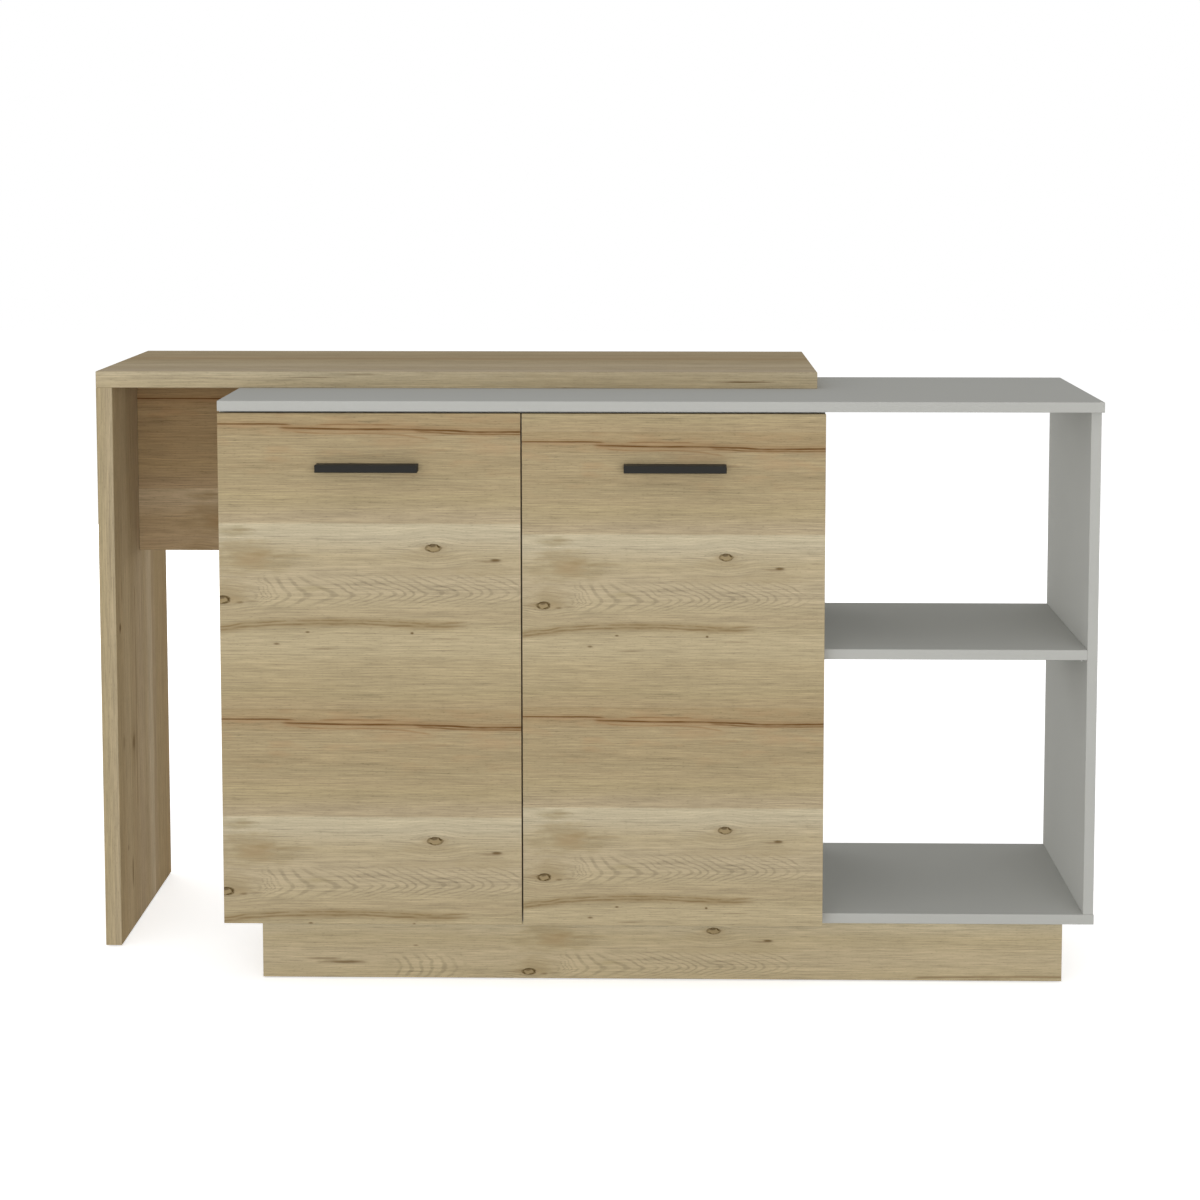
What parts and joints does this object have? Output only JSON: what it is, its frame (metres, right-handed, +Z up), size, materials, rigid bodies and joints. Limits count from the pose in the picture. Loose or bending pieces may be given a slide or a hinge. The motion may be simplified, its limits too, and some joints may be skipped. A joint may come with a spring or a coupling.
{
  "type": "kitchen island unit",
  "caption": "Kitchen island with a two-door cupboard, an open shelf bay and a higher offset table on a panel leg.",
  "frame": {"origin": "on the floor, under the middle of the object's box", "axes": "+X along the unit towards the open shelf bay, -Y towards the person in front of the doors, +Z up"},
  "size_m": [1.5, 0.562, 0.9],
  "materials": {
    "grey_melamine": "light grey melamine on particle board, matte with a fine grain",
    "oak_melamine": "pale oak print on particle board, matte with a fine grain",
    "hardboard": "light grey painted hardboard",
    "beech": "bare turned beech",
    "black_metal": "matte black powder coat",
    "nickel_steel": "nickel-plated pressed steel",
    "screw_steel": "zinc-plated steel",
    "cast_zinc": "die-cast zinc alloy",
    "grey_plastic": "moulded plastic",
    "dark_plastic": "moulded plastic",
    "clear_bumper": "soft translucent pad"
  },
  "bodies": {
    "cabinet": {"top_panel": "grey_melamine", "bottom_panel": "grey_melamine", "left_side_panel": "grey_melamine", "partition_panel": "grey_melamine", "right_side_panel": "grey_melamine", "bay_shelf": "grey_melamine", "cupboard_shelf": "grey_melamine", "back_panel": "hardboard", "front_rail": "grey_melamine", "plinth_front": "oak_melamine", "plinth_back": "oak_melamine", "plinth_left_end": "oak_melamine", "plinth_right_end": "oak_melamine", "plinth_brace": "oak_melamine", "plinth_blocks": "grey_plastic", "plinth_block_screws": "screw_steel", "plinth_glides": "dark_plastic", "tabletop": "oak_melamine", "leg_panel": "oak_melamine", "leg_glides": "dark_plastic", "apron_panel": "oak_melamine", "table_screws": "screw_steel", "angle_brackets": "nickel_steel", "bracket_screws": "screw_steel", "dowels": "beech", "cam_housings": "cast_zinc", "cam_bolts": "nickel_steel", "cam_caps": "grey_plastic", "confirmat_screws": "screw_steel", "shelf_pins": "nickel_steel", "hinge_plates": "nickel_steel", "hinge_plate_screws": "screw_steel", "hinge_arms": "nickel_steel", "hinge_arm_screws": "nickel_steel", "hinge_pins": "nickel_steel"},
    "left_door": {"left_door": "oak_melamine", "left_handle": "black_metal", "left_handle_screws": "screw_steel", "left_hinge_cups": "nickel_steel", "left_cup_screws": "screw_steel", "left_door_bumpers": "clear_bumper"},
    "right_door": {"right_door": "oak_melamine", "right_handle": "black_metal", "right_handle_screws": "screw_steel", "right_hinge_cups": "nickel_steel", "right_cup_screws": "screw_steel", "right_door_bumpers": "clear_bumper"}
  },
  "joints": [
    {"name": "left_door_hinge", "type": "hinge", "parent": "cabinet", "child": "left_door", "pos_m": [-0.524, -0.2525, 0.479], "axis": [0, 0, -1], "range_deg": [0, 95]},
    {"name": "right_door_hinge", "type": "hinge", "parent": "cabinet", "child": "right_door", "pos_m": [0.344, -0.2525, 0.479], "axis": [0, 0, 1], "range_deg": [0, 95]}
  ]
}
